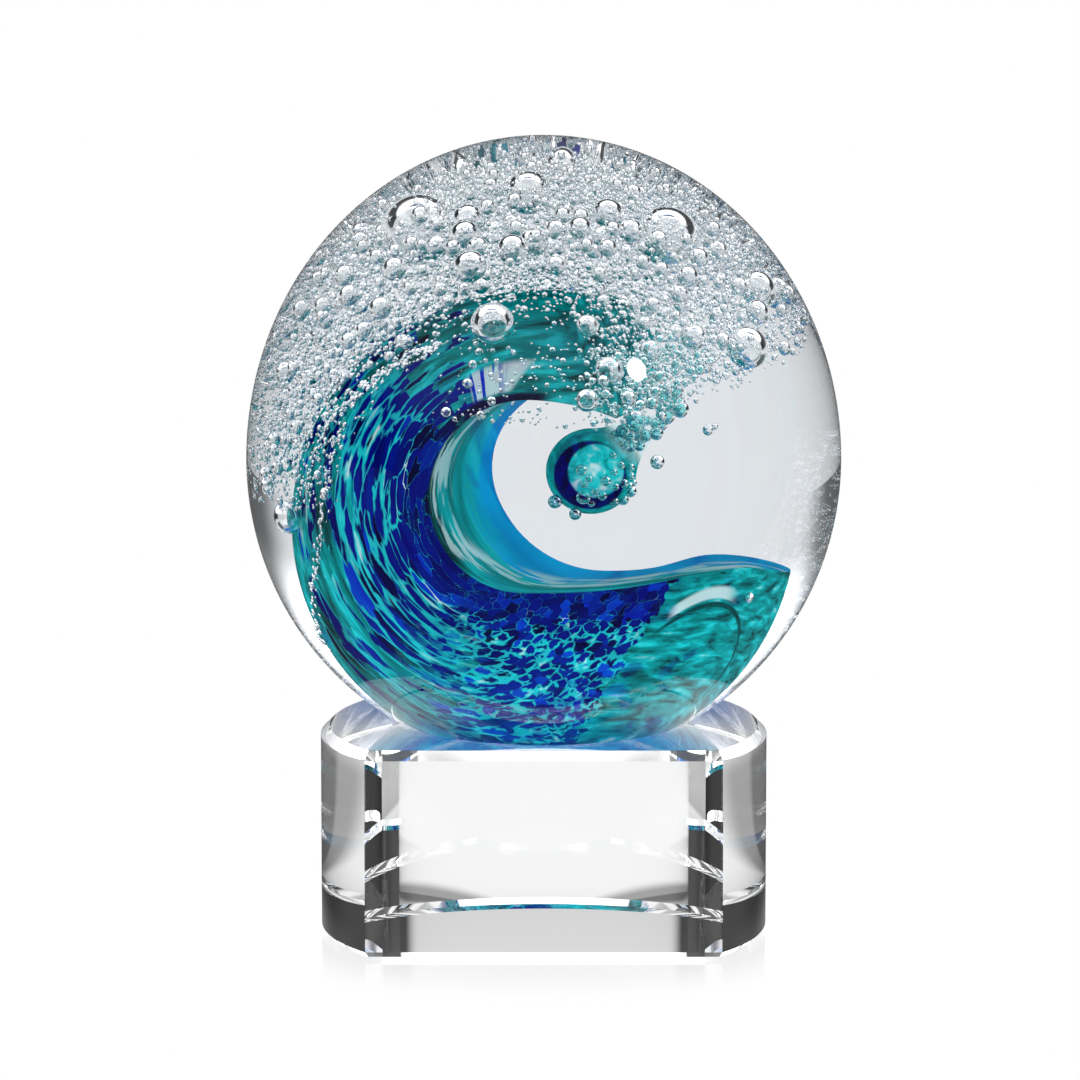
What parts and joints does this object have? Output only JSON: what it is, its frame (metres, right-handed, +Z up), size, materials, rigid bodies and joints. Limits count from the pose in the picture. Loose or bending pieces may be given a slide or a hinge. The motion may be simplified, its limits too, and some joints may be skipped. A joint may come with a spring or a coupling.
{
  "type": "glass wave sculpture",
  "caption": "Solid clear glass ball with a curling blue and teal wave and bubbly foam inside, bonded to a round crystal base with a polished front flat.",
  "frame": {"origin": "on the ball's axis, at the level that the base stands on", "axes": "+Z up along the ball's axis; the base's polished flat faces -Y; the wave rolls towards +X"},
  "size_m": [0.08, 0.08, 0.1067],
  "materials": {
    "crystal": "cut and polished optical crystal, colourless",
    "adhesive": "clear cured adhesive film",
    "clear_glass": "fire-polished clear glass",
    "bubbled_glass": "clear glass full of small air bubbles",
    "teal_glass": "translucent teal glass with darker streaks",
    "cobalt_glass": "cobalt glass chips melted together, with cyan lines between them",
    "aqua_glass": "thin translucent aqua glass with pale streaks",
    "drop_glass": "teal glass with trapped bubbles"
  },
  "bodies": {
    "root": {"crystal_base": "crystal", "bond_film": "adhesive", "clear_casing": "clear_glass", "barrel_fill": "clear_glass", "foam_mantle": "bubbled_glass", "teal_wave": "teal_glass", "cobalt_patch": "cobalt_glass", "aqua_lining": "aqua_glass", "curl_drop": "drop_glass"}
  },
  "joints": []
}
